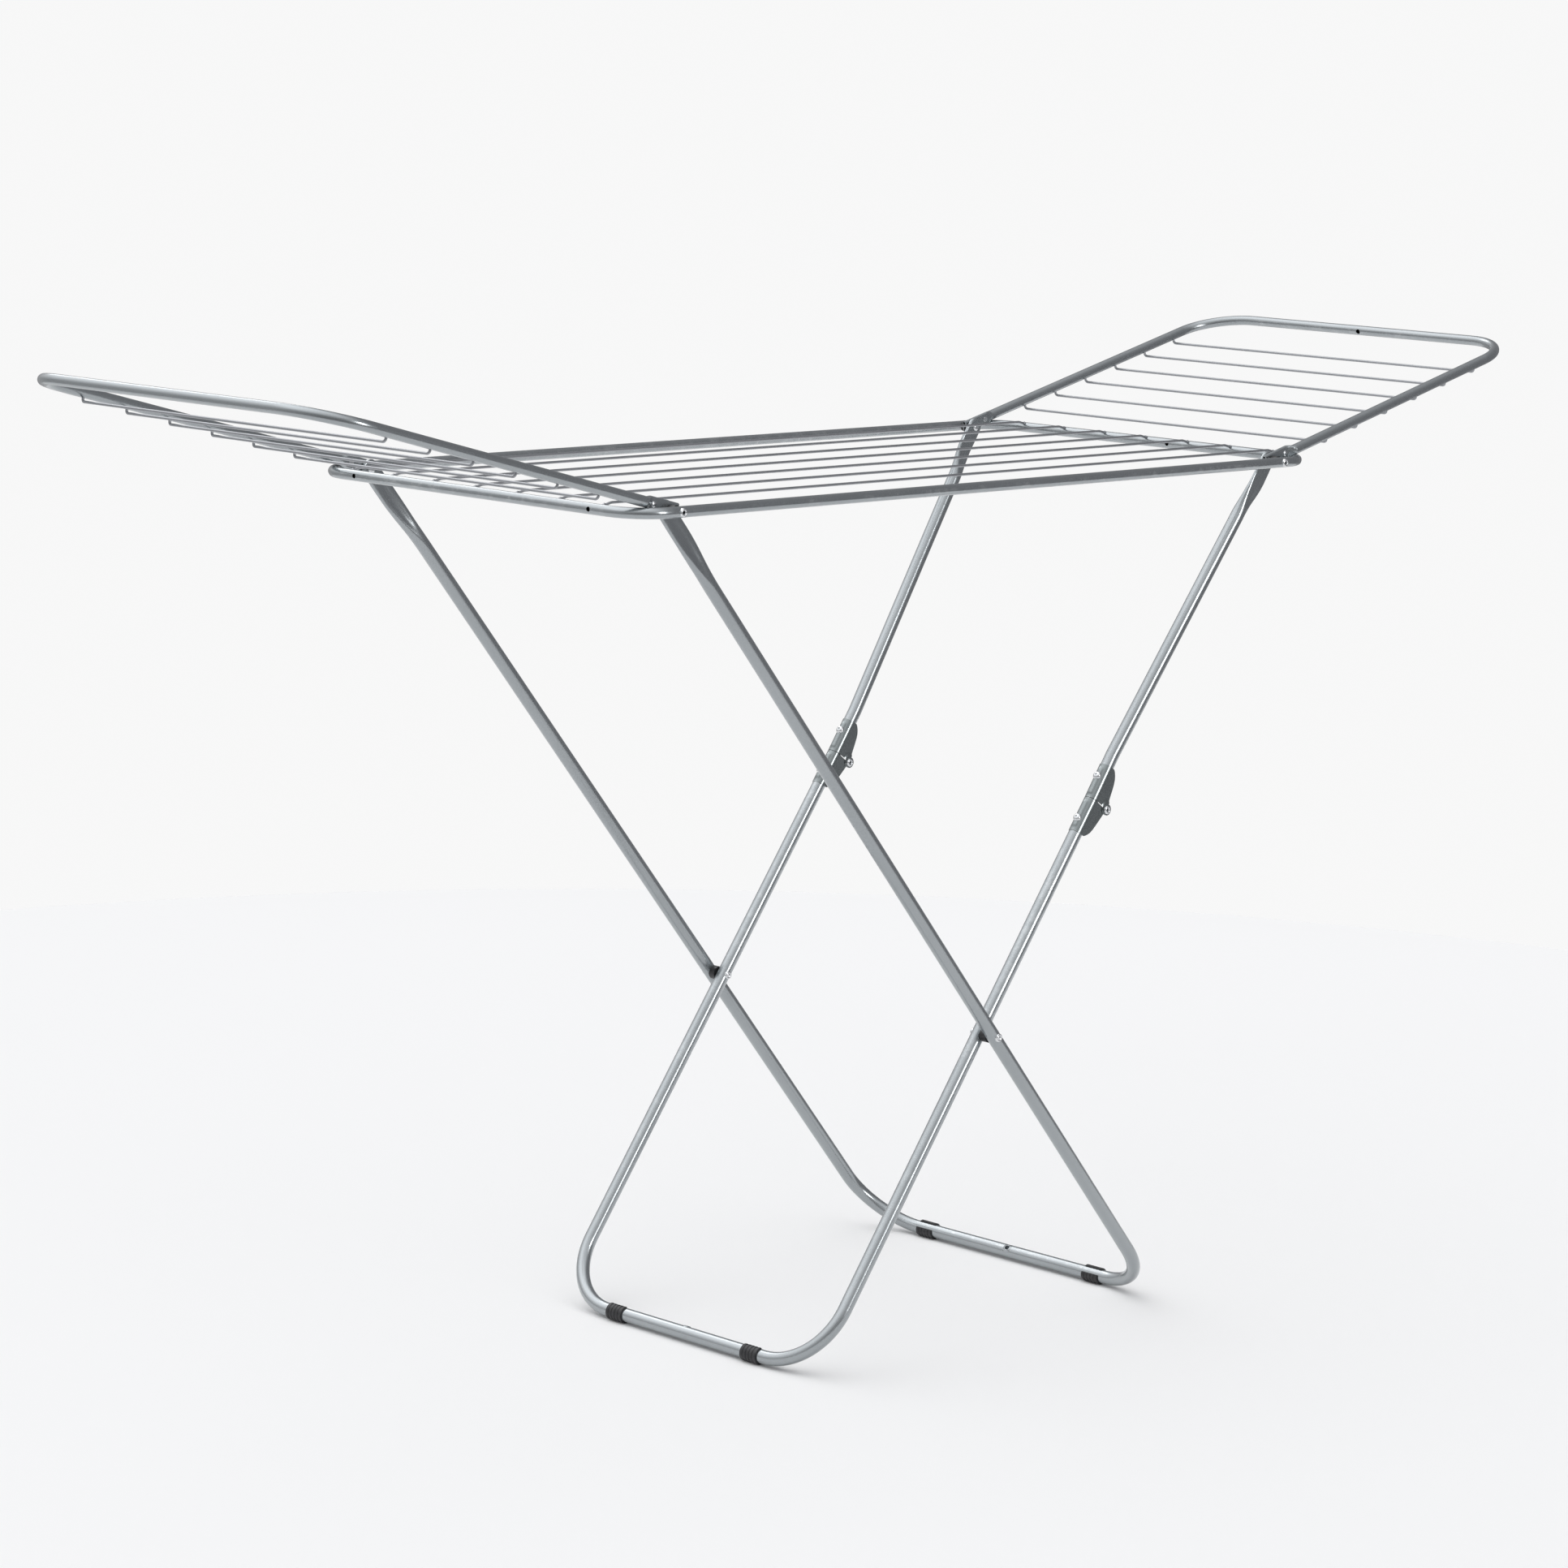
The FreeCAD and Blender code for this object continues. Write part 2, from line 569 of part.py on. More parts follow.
def bracket(along, side, lapped):
    """One half of a knee hinge; the lapped half has its eyes outside those of the other."""
    at = knee_frame(along, side)
    pin = KNEE_PIN + Y * side * ARM_B_Y
    first = GAP + 0.1
    wall = sleeve(at, first, SLEEVE_LENGTH)
    inner, outer = SLEEVE, SLEEVE + SHEET
    out_low, out_high = outer + GAP, outer + GAP + SHEET
    for hand in (-1, 1):
        cheek = [(first, 0), (SLEEVE_LENGTH, 0), (SLEEVE_LENGTH, 6), (12, 19), (9.5, 14), (9.5, 11), (first, 11)]
        if not lapped:
            cheek = [(first, 0), (SLEEVE_LENGTH, 0), (SLEEVE_LENGTH, 6), (7, 24), (first, 24)]
        wall = wall.fuse(sheet(at, cheek, hand * inner, hand * outer))
        if lapped:
            strap = [(2, 14), (14, 8), (24, 8), (24, 13.5), (4.5, 25.5), (0, 22)]
            wall = wall.fuse(sheet(at, strap, hand * out_low, hand * out_high))
            wall = wall.fuse(sheet(at, [(14, 8), (24, 8), (24, 13), (14, 16.5)], hand * inner, hand * out_high))
            wall = wall.fuse(rod(pin + Y * hand * out_low, pin + Y * hand * out_high, KNUCKLE))
        else:
            wall = wall.fuse(rod(pin + Y * hand * inner, pin + Y * hand * outer, KNUCKLE))
    clearance = 0.0 if lapped else RUNNING
    blind = at(BLIND_AT, 0)
    return wall.cut([
        rod(pin - Y * 20, pin + Y * 20, PIN + clearance),
        rod(blind, at(BLIND_AT, -14), BLIND),
    ]).removeSplitter()


def knee_pin(side):
    """A pin with a head at each end."""
    pin = KNEE_PIN + Y * side * ARM_B_Y
    reach = SLEEVE + 2 * SHEET + GAP
    body = rod(pin - Y * reach, pin + Y * reach, PIN)
    return body.fuse([cap(pin + Y * reach, Y, 3.6, 1.3), cap(pin - Y * reach, Y * -1, 3.6, 1.3)])


def blind_rivet(along, side):
    """A blind rivet from a bracket's back into the arm, with its bulb inside the tube."""
    at = knee_frame(along, side)
    back = SLEEVE + SHEET
    away = outward(along) * -1
    neck = rod(at(BLIND_AT, -back), at(BLIND_AT, -5.4), BLIND)
    bore = rod(at(0, 0), at(SLEEVE_LENGTH, 0), LEG_TUBE - WALL)
    bulb = rod(at(BLIND_AT, -8), at(BLIND_AT, -5.0), 2.4).common(bore)
    hug = rod(at(0, 0), at(SLEEVE_LENGTH, 0), back)
    return neck.fuse([bulb, headed(at(BLIND_AT, -back), away, 3.4, 1.4, hug, 0.8)])


# ---- write every node ---------------------------------------------------------------------
os.makedirs("parts", exist_ok=True)
SIDES = (-1, 1)
SIDE_NAMES = {-1: "near", 1: "far"}

save("frame_tube", frame_tube())
save("frame_joint_spigot", frame_joint_spigot())
bars = end_bars()
for i in range(MAIN_WIRES):
    save("frame_wire_%d" % (i + 1), main_wire((i - (MAIN_WIRES - 1) / 2.0) * MAIN_WIRE_PITCH, bars))
save("hinge_rivets", *[hinge_rivet(x, side) for x in (-PIVOT_X, PIVOT_X) for side in SIDES])
save("hinge_spacers", *[hinge_spacer(x, side) for x in (-PIVOT_X, PIVOT_X) for side in SIDES])

wing = opened(wing_tube())
save("right_wing_tube", wing)
save("left_wing_tube", mirrored_x(wing))
for i in range(WING_WIRES):
    wire = opened(wing_wire(i))
    save("right_wing_wire_%d" % (i + 1), wire)
    save("left_wing_wire_%d" % (i + 1), mirrored_x(wire))
rivets = [opened(arm_rivet(side)) for side in SIDES]
save("right_wing_arm_rivets", *rivets)
save("left_wing_arm_rivets", *[mirrored_x(rivet) for rivet in rivets])

save("leg_a_tube", leg_a_tube())
save("leg_b_lower_tube", leg_b_lower_tube())
upper = leg_b_upper_tube()
save("leg_b_upper_arm_far", upper)
save("leg_b_upper_arm_near", mirrored_y(upper))
save("cross_rivets_outer", *[cross_rivet_outer(side) for side in SIDES])
save("cross_rivets_inner", *[cross_rivet_inner(side) for side in SIDES])
save("cross_spacers", *[cross_spacer(side) for side in SIDES])
for side in SIDES:
    name = SIDE_NAMES[side]
    save("foot_a_%s" % name, foot(FOOT_A, ALONG_A, side * FOOT_A_Y))
    save("foot_b_%s" % name, foot(FOOT_B, ALONG_LOWER, side * FOOT_B_Y))
    save("knee_bracket_upper_%s" % name, bracket(ALONG_UPPER, side, True))
    save("knee_bracket_lower_%s" % name, bracket(ALONG_LOWER, side, False))
    save("knee_pin_%s" % name, knee_pin(side))
save("knee_rivets_upper", *[blind_rivet(ALONG_UPPER, side) for side in SIDES])
save("knee_rivets_lower", *[blind_rivet(ALONG_LOWER, side) for side in SIDES])
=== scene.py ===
"""Looks for the folding clothes drying rack: painted steel tube and wire, pressed knee
brackets, zinc rivets and black plastic feet.  Metres; X along the rack, Y across it, Z up."""

import json
import math

import bmesh
import bpy
from mathutils import Matrix, Vector


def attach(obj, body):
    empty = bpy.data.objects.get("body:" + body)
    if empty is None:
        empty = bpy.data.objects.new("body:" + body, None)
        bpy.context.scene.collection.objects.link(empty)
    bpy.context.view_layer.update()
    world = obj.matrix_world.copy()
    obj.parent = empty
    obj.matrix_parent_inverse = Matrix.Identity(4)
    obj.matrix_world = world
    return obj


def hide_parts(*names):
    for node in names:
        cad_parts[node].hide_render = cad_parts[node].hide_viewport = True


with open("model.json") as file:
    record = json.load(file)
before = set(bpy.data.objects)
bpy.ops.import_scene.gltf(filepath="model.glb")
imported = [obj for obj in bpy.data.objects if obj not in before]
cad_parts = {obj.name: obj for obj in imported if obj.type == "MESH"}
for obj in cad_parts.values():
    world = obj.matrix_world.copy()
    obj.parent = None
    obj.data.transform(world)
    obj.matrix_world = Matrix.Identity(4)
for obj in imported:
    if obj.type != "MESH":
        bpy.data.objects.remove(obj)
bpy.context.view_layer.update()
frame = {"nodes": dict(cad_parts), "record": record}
MM = 0.001
SIDES = ((-1, "near"), (1, "far"))


# ---- materials --------------------------------------------------------------------------------
class Shader:
    """A short way to write node materials."""

    def __init__(self, name):
        self.material = bpy.data.materials.new(name)
        self.material.use_nodes = True
        self.nodes = self.material.node_tree.nodes
        self.links = self.material.node_tree.links
        self.bsdf = self.nodes["Principled BSDF"]
        self.place = self.add("ShaderNodeTexCoord").outputs["Object"]

    def add(self, kind, **values):
        node = self.nodes.new(kind)
        for key, value in values.items():
            if key in node.inputs:
                node.inputs[key].default_value = value
            else:
                setattr(node, key, value)
        return node

    def noise(self, scale, detail=3.0, rough=0.55, stretch=None):
        node = self.add("ShaderNodeTexNoise", Scale=scale, Detail=detail, Roughness=rough)
        place = self.place
        if stretch:
            mapping = self.add("ShaderNodeMapping")
            mapping.inputs["Scale"].default_value = stretch
            self.links.new(place, mapping.inputs["Vector"])
            place = mapping.outputs["Vector"]
        self.links.new(place, node.inputs["Vector"])
        return node.outputs["Fac"]

    def ramp(self, value, stops):
        node = self.add("ShaderNodeValToRGB")
        ramp = node.color_ramp
        while len(ramp.elements) < len(stops):
            ramp.elements.new(0.5)
        for element, (at, colour) in zip(ramp.elements, stops):
            element.position = at
            element.color = (*colour, 1.0) if len(colour) == 3 else colour
        self.links.new(value, node.inputs["Fac"])
        return node.outputs["Color"]

    def span(self, value, low, high, from_low=0.3, from_high=0.7):
        node = self.add("ShaderNodeMapRange")
        node.inputs["From Min"].default_value = from_low
        node.inputs["From Max"].default_value = from_high
        node.inputs["To Min"].default_value = low
        node.inputs["To Max"].default_value = high
        self.links.new(value, node.inputs["Value"])
        return node.outputs["Result"]

    def mix(self, fac, a, b, mode="MIX"):
        node = self.add("ShaderNodeMix", data_type="RGBA", blend_type=mode)
        for value, socket in ((fac, node.inputs[0]), (a, node.inputs[6]), (b, node.inputs[7])):
            if isinstance(value, bpy.types.NodeSocket):
                self.links.new(value, socket)
            else:
                socket.default_value = value
        return node.outputs[2]

    def bump(self, height, strength, distance, normal=None):
        node = self.add("ShaderNodeBump", Strength=strength, Distance=distance)
        self.links.new(height, node.inputs["Height"])
        if normal is not None:
            self.links.new(normal, node.inputs["Normal"])
        return node.outputs["Normal"]

    def set(self, **values):
        for key, value in values.items():
            socket = self.bsdf.inputs[key.replace("_", " ")]
            if isinstance(value, bpy.types.NodeSocket):
                self.links.new(value, socket)
            else:
                socket.default_value = value
        return self


def paint(name, dark, light, metallic, rough_low, rough_high, flake, edge):
    """Metallic paint: fine flakes, faint clouds, orange peel, and brighter rubbed edges."""
    s = Shader(name)
    clouds = s.ramp(s.noise(5.0, 3.0), ((0.3, dark), (0.7, light)))
    flakes = s.ramp(s.noise(2600.0, 1.0), ((0.42, (1 - flake,) * 3), (0.62, (1 + flake,) * 3)))
    colour = s.mix(1.0, clouds, flakes, "MULTIPLY")
    geometry = s.add("ShaderNodeNewGeometry")
    rubbed = s.span(geometry.outputs["Pointiness"], 0.0, edge, 0.52, 0.62)
    scuffs = s.span(s.noise(60.0, 5.0, 0.7), 0.0, 1.0, 0.5, 0.66)
    worn = s.add("ShaderNodeMath", operation="MULTIPLY")
    s.links.new(rubbed, worn.inputs[0])
    s.links.new(scuffs, worn.inputs[1])
    colour = s.mix(worn.outputs[0], colour, (0.72, 0.74, 0.75, 1.0))
    peel = s.bump(s.noise(420.0, 2.0), 0.01, 0.0001)
    roughness = s.span(s.noise(14.0, 4.0, 0.6), rough_low, rough_high)
    s.set(Base_Color=colour, Metallic=metallic, Roughness=roughness, Normal=peel,
          Coat_Weight=0.35, Coat_Roughness=0.16)
    return s.material


def zinc(name, colour_low, colour_high):
    """Zinc plating: bright, faintly mottled metal with fine turning marks."""
    s = Shader(name)
    colour = s.ramp(s.noise(300.0, 4.0), ((0.3, colour_low), (0.7, colour_high)))
    marks = s.bump(s.noise(900.0, 3.0), 0.12, 0.0002)
    roughness = s.span(s.noise(220.0, 4.0), 0.14, 0.30)
    s.set(Base_Color=colour, Metallic=1.0, Roughness=roughness, Normal=marks)
    return s.material


def plastic(name):
    """Black moulded plastic with a fine spark-eroded grain and grey scuffs."""
    s = Shader(name)
    scuffs = s.ramp(s.noise(140.0, 6.0, 0.7),
                    ((0.45, (0.013, 0.013, 0.015)), (0.75, (0.035, 0.035, 0.038))))
    grain = s.bump(s.noise(3200.0, 2.0), 0.25, 0.0001)
    roughness = s.span(s.noise(260.0, 4.0), 0.38, 0.56)
    s.set(Base_Color=scuffs, Roughness=roughness, Normal=grain)
    return s.material


MATERIALS = {
    "painted_tube": paint("silver paint", (0.355, 0.38, 0.395), (0.385, 0.41, 0.425),
                          0.88, 0.23, 0.27, 0.04, 0.4),
    "painted_wire": paint("silver wire paint", (0.32, 0.33, 0.35), (0.36, 0.37, 0.39),
                          0.80, 0.32, 0.40, 0.05, 0.4),
    "painted_bracket": paint("grey bracket paint", (0.225, 0.25, 0.255), (0.26, 0.285, 0.29),
                             0.88, 0.20, 0.25, 0.04, 0.7),
    "zinc_fasteners": zinc("zinc", (0.62, 0.64, 0.66), (0.78, 0.79, 0.80)),
    "plain_steel": zinc("bare steel", (0.36, 0.36, 0.37), (0.46, 0.46, 0.46)),
    "black_plastic": plastic("black plastic"),
}
SLOT_OF = {part["node"]: part["material_slot"] for part in frame["record"]["subparts"]}
BODY_OF = {node: body for body, nodes in frame["record"]["behaviour"]["bodies"].items()
           for node in nodes}
for node, shown in frame["nodes"].items():
    shown.data.materials.clear()
    shown.data.materials.append(MATERIALS[SLOT_OF[node]])


# ---- the rack's own dimensions, in millimetres, as in the CAD ---------------------------------
AX, AY, AZ = Vector((1, 0, 0)), Vector((0, 1, 0)), Vector((0, 0, 1))
HINGE_A, HINGE_B = Vector((-492.0, 0, 990.0)), Vector((492.0, 0, 990.0))
FOOT_A, FOOT_B = Vector((352.0, 0, 9.75)), Vector((-202.0, 0, 9.75))
KNEE = Vector((231.0, 0, 609.0))
ARM_A_Y, ARM_B_Y, ARM_B_TOP_Y, PLATE_Y = 227.5, 205.0, 225.0, 231.5
FRAME_Y, FRAME_X, FRAME_Z = 253.0, 550.0, 990.0
WING_ARM_Y, WING_PLATE_Y, WING_RISE, WING_ANGLE = 240.6, 237.1, 2.0, 14.2
LEG, THIN, WIRE, WALL = 8.0, 6.0, 1.5, 0.8      # radii of leg, frame and wire; tube wall
LEG_CORNER = 78.0   # bend radius of the foot bars
FOOT_A_Y, FOOT_B_Y = 135.0, 109.0   # middles of the plastic feet
ARM_RIVET_AT = 25.0  # small rivet in each wing arm, from the hinge
PLATE_HALF = 2.5    # half the thickness of a pressed tube end
HOLE, RIM = 3.0, 6.2   # radii of the drain hole in each foot bar and of its rim
PIN_OFFSET, SLEEVE_LENGTH, BLIND_AT = 20.0, 44.0, 28.0   # knee pin, brackets, blind rivets
ALONG_A = (FOOT_A - HINGE_A).normalized()
ALONG_LOWER = (FOOT_B - KNEE).normalized()
ALONG_UPPER = (HINGE_B - KNEE).normalized()
AROUND = 40         # points round a tube
SHARP = 38.0        # degrees; softer edges are shaded smooth


def outward(along):
    """The side of a kneed leg's arm that faces away from the rack's middle."""
    return Vector((abs(along.z), 0, -abs(along.x)))


KNEE_PIN = KNEE + outward((HINGE_B - FOOT_B).normalized()) * PIN_OFFSET


def crossing():
    """Where the arms of the two legs cross, seen from the side."""
    span, other, gap = FOOT_A - HINGE_A, KNEE - FOOT_B, FOOT_B - HINGE_A
    share = (gap.x * other.z - gap.z * other.x) / (span.x * other.z - span.z * other.x)
    return HINGE_A + span * share


CROSS = crossing()


# ---- mesh helpers -----------------------------------------------------------------------------
def loft(bm, rings, close_start=True, close_end=True):
    """Skins a list of rings of points."""
    made = [[bm.verts.new(point) for point in ring] for ring in rings]
    for first, second in zip(made, made[1:]):
        for i in range(len(first)):
            j = (i + 1) % len(first)
            bm.faces.new((first[i], first[j], second[j], second[i]))
    if close_start:
        bm.faces.new(made[0][::-1])
    if close_end:
        bm.faces.new(made[-1])


def ring_at(centre, side, up, half_side, half_up, square=1.0, dent=0.0):
    """An outline of a tube: round, or pressed flat with a dent down the middle of each face."""
    points = []
    for i in range(AROUND):
        turn = math.tau * i / AROUND
        u = math.copysign(abs(math.cos(turn)) ** square, math.cos(turn))
        v = math.copysign(abs(math.sin(turn)) ** square, math.sin(turn))
        v *= 1.0 - dent * math.exp(-((u / 0.42) ** 2))
        points.append(centre + side * (half_side * u) + up * (half_up * v))
    return points


def rounded(points, radius, steps=14):
    """Points of a path of straight runs with round corners, and the direction at each."""
    path = [points[0]]
    for i in range(1, len(points) - 1):
        here = points[i]
        back, ahead = (points[i - 1] - here).normalized(), (points[i + 1] - here).normalized()
        half = back.angle(ahead) / 2.0
        middle = (back + ahead).normalized()
        centre = here + middle * (radius / math.sin(half))
        start = here + back * (radius / math.tan(half)) - centre
        end = here + ahead * (radius / math.tan(half)) - centre
        swing = start.angle(end)
        for k in range(steps + 1):
            part = k / steps
            reach = start * math.sin((1 - part) * swing) + end * math.sin(part * swing)
            path.append(centre + reach / math.sin(swing))
    path.append(points[-1])
    return path


def tangents(path):
    """The direction of a path at each of its points."""
    ways = []
    for i in range(len(path)):
        before = path[i] - path[max(i - 1, 0)]
        after = path[min(i + 1, len(path) - 1)] - path[i]
        if before.length == 0:
            before = after
        if after.length == 0:
            after = before
        ways.append((before.normalized() + after.normalized()).normalized())
    return ways


def open_end(rings, centre, side, up, half_side, half_up, way, depth, square=1.0):
    """Continues a tube back inside its own open end, so that the wall and the bore show."""
    for reach in (0.0, depth):
        rings.append(ring_at(centre - way * reach, side, up, half_side - WALL, half_up - WALL, square))


def lathe(bm, base, axis, profile, around=AROUND):
    """A turned piece: profile holds (radius, height along axis)."""
    side = axis.cross(AX if abs(axis.x) < 0.5 else AZ).normalized()
    other = axis.cross(side)
    rings = []
    for radius, height in profile:
        centre, radius = base + axis * height, max(radius, 0.02)
        rings.append([centre + (side * math.cos(t) + other * math.sin(t)) * radius
                      for t in (math.tau * i / around for i in range(around))])
    loft(bm, rings)


def smoothstep(low, high, value):
    """0 below low, 1 above high, and an even curve between."""
    part = min(max((value - low) / (high - low), 0.0), 1.0)
    return part * part * (3.0 - 2.0 * part)


def shade(made, sharp=SHARP):
    """Smooth shading, with the edges sharper than this angle, in degrees, kept crisp."""
    for face in made.data.polygons:
        face.use_smooth = True
    made.data.set_sharp_from_angle(angle=math.radians(sharp))


def piece(name, bm, nodes, sharp=SHARP):
    """Makes a piece in the CAD's place that stands for these nodes."""
    for vert in bm.verts:
        vert.co *= MM
    bmesh.ops.recalc_face_normals(bm, faces=bm.faces)
    mesh = bpy.data.meshes.new(name)
    bm.to_mesh(mesh)
    bm.free()
    mesh.materials.append(MATERIALS[SLOT_OF[nodes[0]]])
    made = bpy.data.objects.new(name, mesh)
    bpy.context.scene.collection.objects.link(made)
    shade(made, sharp)
    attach(made, BODY_OF[nodes[0]])
    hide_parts(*nodes)
    return made


def bored(target, base, axis, radius, depth):
    """Cuts a round hole into a piece."""
    bm = bmesh.new()
    lathe(bm, base - axis * depth, axis, ((radius, 0.0), (radius, depth * 2.0)), 32)
    for vert in bm.verts:
        vert.co *= MM
    bmesh.ops.recalc_face_normals(bm, faces=bm.faces)
    mesh = bpy.data.meshes.new("drill")
    bm.to_mesh(mesh)
    bm.free()
    drill = bpy.data.objects.new("drill", mesh)
    bpy.context.scene.collection.objects.link(drill)
    cut = target.modifiers.new("hole", "BOOLEAN")
    cut.operation, cut.solver, cut.object = "DIFFERENCE", "EXACT", drill
    bpy.context.view_layer.update()
    graph = bpy.context.evaluated_depsgraph_get()
    result = bpy.data.meshes.new_from_object(target.evaluated_get(graph))
    target.modifiers.remove(cut)
    target.data = result
    bpy.data.objects.remove(drill)


def hole_rim(bm, centre, face, along, tube, inner, outer, height):
    """A pressed-up rim round a hole in a tube, which follows the tube's curve."""
    side = along.cross(face).normalized()
    around = 36
    rings = []
    for radius, lift in ((inner, -0.9), (inner + 0.05, height * 0.6), (inner + 0.5, height),
                         (inner + 1.0, height * 0.75), (outer - 0.5, height * 0.2), (outer, -0.15)):
        ring = []
        for i in range(around):
            turn = math.tau * i / around
            lean = math.asin(max(min(radius * math.sin(turn) / tube, 0.95), -0.95))
            out = face * math.cos(lean) + side * math.sin(lean)
            ring.append(centre + along * (radius * math.cos(turn)) + out * (tube + lift))
        rings.append(ring)
    loft(bm, rings, False, False)


# ---- legs -------------------------------------------------------------------------------------
def leg_top_rings(hinge, along, arm_y, side, flat, round_length):
    """Rings from the rounded tip of a pressed leg top down to where the tube is round again.

    along points from the tube to the hinge; side is the sign of Y.
    """
    across = along.cross(AY).normalized()
    reach = PLATE_HALF + math.pi * (LEG - PLATE_HALF) / 2.0
    tip = reach - 0.3
    rings = []
    for k in range(9):
        turn = math.radians(88.0 - 88.0 * k / 8)
        centre = hinge + AY * (side * PLATE_Y) + along * (tip * math.sin(turn))
        thin = PLATE_HALF * (0.72 + 0.28 * smoothstep(0, 3, k))
        rings.append(ring_at(centre, across, AY * side, tip * math.cos(turn), thin, 0.62, 0.0))
    steps = 22
    for k in range(1, steps + 1):
        down = flat * 0.35 + (round_length - flat * 0.35) * k / steps
        part = smoothstep(flat, round_length, down)
        thick = PLATE_HALF + (LEG - PLATE_HALF) * part
        wide = thick + math.pi * (LEG - thick) / 2.0
        y = side * (PLATE_Y + (arm_y - PLATE_Y) * part)
        dent = 0.40 * smoothstep(9.0, 26.0, down) * (1.0 - smoothstep(0.30, 1.0, part))
        square = 0.62 + 0.38 * smoothstep(0.0, 0.8, part)
        rings.append(ring_at(hinge + AY * y - along * down, across, AY * side, wide, thick, square, dent))
    return rings


def make_leg_a():
    """The one-piece leg, from one rounded tip round the foot bar to the other."""
    normal = ALONG_A.cross(AY).normalized()
    flat, round_length = 36.0, 120.0
    joint = HINGE_A + ALONG_A * round_length
    near = leg_top_rings(HINGE_A, -ALONG_A, ARM_A_Y, -1, flat, round_length)
    far = leg_top_rings(HINGE_A, -ALONG_A, ARM_A_Y, 1, flat, round_length)
    y = AY * ARM_A_Y
    start = joint + ALONG_A * 4.0
    path = rounded([start - y, FOOT_A - y, FOOT_A + y, start + y], LEG_CORNER, 20)
    middle = []
    for point, way in zip(path, tangents(path)):
        side = normal.cross(way).normalized()
        middle.append(ring_at(point, normal, side, LEG, LEG))
    bm = bmesh.new()
    loft(bm, align(near + middle + far[::-1]))
    leg = piece("look_leg_a_tube", bm, ["leg_a_tube"])
    bored(leg, FOOT_A - ALONG_A * LEG, -ALONG_A, HOLE, 6.0)
    shade(leg)
    add_rim("look_leg_a_hole_rim", FOOT_A, -ALONG_A, "leg_a_tube")


def align(rings):
    """Turns each ring so that its points run on from those of the one before."""
    out = [rings[0]]
    for ring in rings[1:]:
        last = out[-1]
        middle_last = sum(last, Vector()) / len(last)
        middle = sum(ring, Vector()) / len(ring)
        best, chosen = None, None
        for points in (ring, ring[::-1]):
            for k in range(len(points)):
                turned = points[k:] + points[:k]
                cost = sum(((turned[i] - middle).normalized() - (last[i] - middle_last).normalized()).length
                           for i in range(0, len(points), 5))
                if best is None or cost < best:
                    best, chosen = cost, turned
        out.append(chosen)
    return out


def add_rim(name, foot, face, node):
    """The rim of the drain hole in a foot bar."""
    bm = bmesh.new()
    hole_rim(bm, foot, face, AY, LEG, HOLE, RIM, 0.7)
    piece(name, bm, [node])


def make_leg_b_lower():
    """The kneed leg's lower U, open at both tops."""
    normal = ALONG_LOWER.cross(AY).normalized()
    top = KNEE + ALONG_LOWER * 0.3
    y = AY * ARM_B_Y
    path = rounded([top - y, FOOT_B - y, FOOT_B + y, top + y], LEG_CORNER, 20)
    outer = []
    for point, way in zip(path, tangents(path)):
        side = normal.cross(way).normalized()
        outer.append(ring_at(point, normal, side, LEG, LEG))
    start, end = [], []
    first, last = outer[0], outer[-1]
    for ring, hand, keep in ((first, -1, start), (last, 1, end)):
        centre = top + y * hand
        for reach in (0.0, 30.0):
            keep.append([centre + (point - centre) * ((LEG - WALL) / LEG) + ALONG_LOWER * reach
                         for point in ring])
    bm = bmesh.new()
    loft(bm, align(start[::-1] + outer + end))
    leg = piece("look_leg_b_lower_tube", bm, ["leg_b_lower_tube"])
    bored(leg, FOOT_B - ALONG_LOWER * LEG, -ALONG_LOWER, HOLE, 6.0)
    shade(leg)
    add_rim("look_leg_b_hole_rim", FOOT_B, -ALONG_LOWER, "leg_b_lower_tube")


def make_leg_b_upper():
    """The two upper arms: straight at the knee, splayed outwards, and pressed flat at the hinge."""
    flat, pressed, straight = 24.0, 78.0, 60.0    # plate, end of the press, start of the splay
    length = (HINGE_B - KNEE).length
    across = ALONG_UPPER.cross(AY).normalized()
    for side, hand in SIDES:
        rings = leg_top_rings(HINGE_B, ALONG_UPPER, ARM_B_TOP_Y, side, flat, pressed)
        top = length - pressed - 3.0
        for k in range(9):
            at = top + (straight - top) * k / 8
            y = ARM_B_Y + (ARM_B_TOP_Y - ARM_B_Y) * (at - straight) / (length - pressed - straight)
            rings.append(ring_at(KNEE + ALONG_UPPER * at + AY * (side * y), across, AY * side, LEG, LEG))
        low = KNEE + AY * (side * ARM_B_Y) + ALONG_UPPER * 0.3
        rings.append(ring_at(low, across, AY * side, LEG, LEG))
        open_end(rings, low, across, AY * side, LEG, LEG, -ALONG_UPPER, 30.0)
        bm = bmesh.new()
        loft(bm, rings)
        piece("look_leg_b_upper_arm_" + hand, bm, ["leg_b_upper_arm_" + hand])


# ---- wires ------------------------------------------------------------------------------------
def weld(bm, centre, way, up, seed):
    """A small uneven bead of weld where a wire meets a tube."""
    side = way.cross(up)
    rings = []
    for k in range(7):
        lean = math.pi * (0.06 + 0.88 * k / 6)
        middle = centre + way * (2.6 * math.cos(lean))
        ring = []
        for i in range(20):
            t = math.tau * i / 20
            size = math.sin(lean) * (1.0 + 0.10 * math.sin(3 * t + seed * 1.7 + k))
            ring.append(middle + (side * math.cos(t) * 1.95 + up * math.sin(t) * 1.5) * size)
        rings.append(ring)
    loft(bm, rings)


def wire_rings(path, normal):
    """Rings of a round wire along a path that lies in a plane with this normal."""
    rings = []
    for point, way in zip(path, tangents(path)):
        side = way.cross(normal).normalized()
        up = side.cross(way)
        rings.append([point + (side * math.cos(t) + up * math.sin(t)) * WIRE
                      for t in (math.tau * i / 20 for i in range(20))])
    return rings


